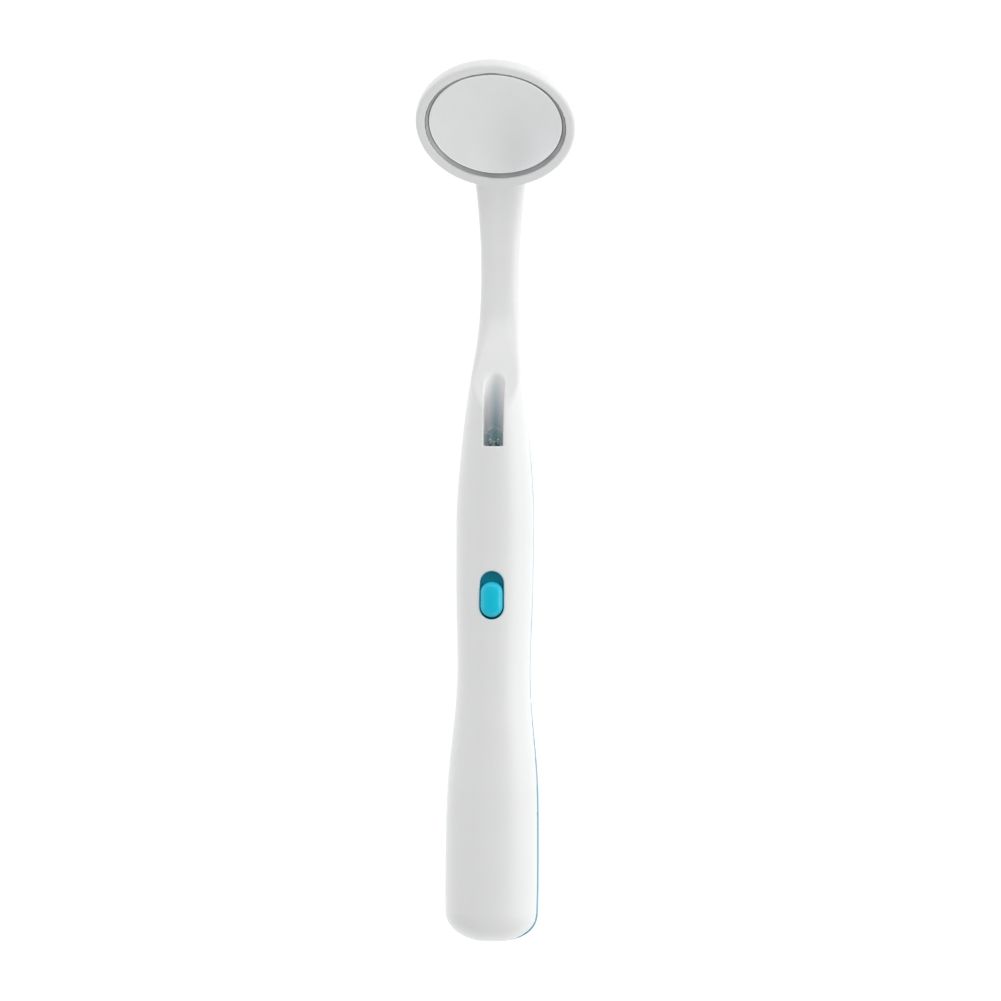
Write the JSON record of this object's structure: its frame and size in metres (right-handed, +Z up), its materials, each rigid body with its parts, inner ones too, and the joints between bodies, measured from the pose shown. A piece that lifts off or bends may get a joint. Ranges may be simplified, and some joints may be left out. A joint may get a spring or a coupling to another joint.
{
  "type": "mouth mirror",
  "caption": "Battery-handled mouth mirror: round angled mirror on an S-shaped neck, a lamp in a groove at the shoulder, a slide switch and a slide-off battery cover.",
  "frame": {"origin": "on the surface the mirror lies on, under the middle of its bounding box", "axes": "+Y along the handle towards the mirror head, +Z up out of the mirror and switch side, +X across the handle"},
  "size_m": [0.03, 0.1642, 0.0267],
  "materials": {
    "white_shell": "injection-moulded white ABS, semi-gloss",
    "blue_shell": "injection-moulded light blue ABS, semi-gloss",
    "teal_plastic": "moulded teal-blue switch button",
    "mirror_face": "front-silvered mirror disc",
    "adhesive_foam": "double-sided adhesive pad",
    "grey_seal": "soft grey seal ring",
    "lamp_epoxy": "clear lamp epoxy",
    "lamp_phosphor": "yellow phosphor over the light chip",
    "plated_lead": "tin-plated lead",
    "black_plastic": "black moulded plastic",
    "frame_plastic": "natural moulded plastic",
    "board_laminate": "green glass-epoxy board",
    "ferrite": "ferrite drum",
    "ceramic_chip": "ceramic chip capacitor",
    "switch_steel": "folded steel switch can",
    "contact_brass": "sprung brass wiper",
    "contact_plated": "plated contact strip",
    "spring_steel": "plated spring wire",
    "cell_metal": null,
    "cell_jacket": "plain printed film jacket",
    "cell_insulator": "fibre washer"
  },
  "bodies": {
    "handle": {"front_shell": "white_shell", "rear_shell": "blue_shell", "mirror_adhesive_pad": "adhesive_foam", "mirror_glass": "mirror_face", "mirror_seal_ring": "grey_seal", "lamp_lens": "lamp_epoxy", "lamp_cathode_lead": "plated_lead", "lamp_anode_lead": "plated_lead", "lamp_chip": "lamp_phosphor", "lamp_holder": "black_plastic", "inner_frame": "frame_plastic", "circuit_board": "board_laminate", "inductor": "ferrite", "driver_chip": "black_plastic", "capacitor": "ceramic_chip", "resistor": "black_plastic", "switch_housing": "switch_steel", "switch_terminal_1": "plated_lead", "switch_terminal_2": "plated_lead", "switch_terminal_3": "plated_lead", "battery_can": "cell_metal", "battery_jacket": "cell_jacket", "battery_insulator": "cell_insulator", "battery_positive_cap": "cell_metal", "positive_contact": "contact_plated", "negative_contact": "contact_plated", "negative_spring": "spring_steel"},
    "switch_slider": {"switch_knob": "teal_plastic", "switch_actuator": "black_plastic", "switch_wiper": "contact_brass"},
    "battery_door": {"battery_cover": "blue_shell"}
  },
  "joints": [
    {"name": "switch_slide", "type": "slide", "parent": "handle", "child": "switch_slider", "axis": [0, 1, 0], "range_m": [0, 0.0018]},
    {"name": "battery_cover_slide", "type": "slide", "parent": "handle", "child": "battery_door", "axis": [0, -1, 0], "range_m": [0, 0.045]}
  ]
}
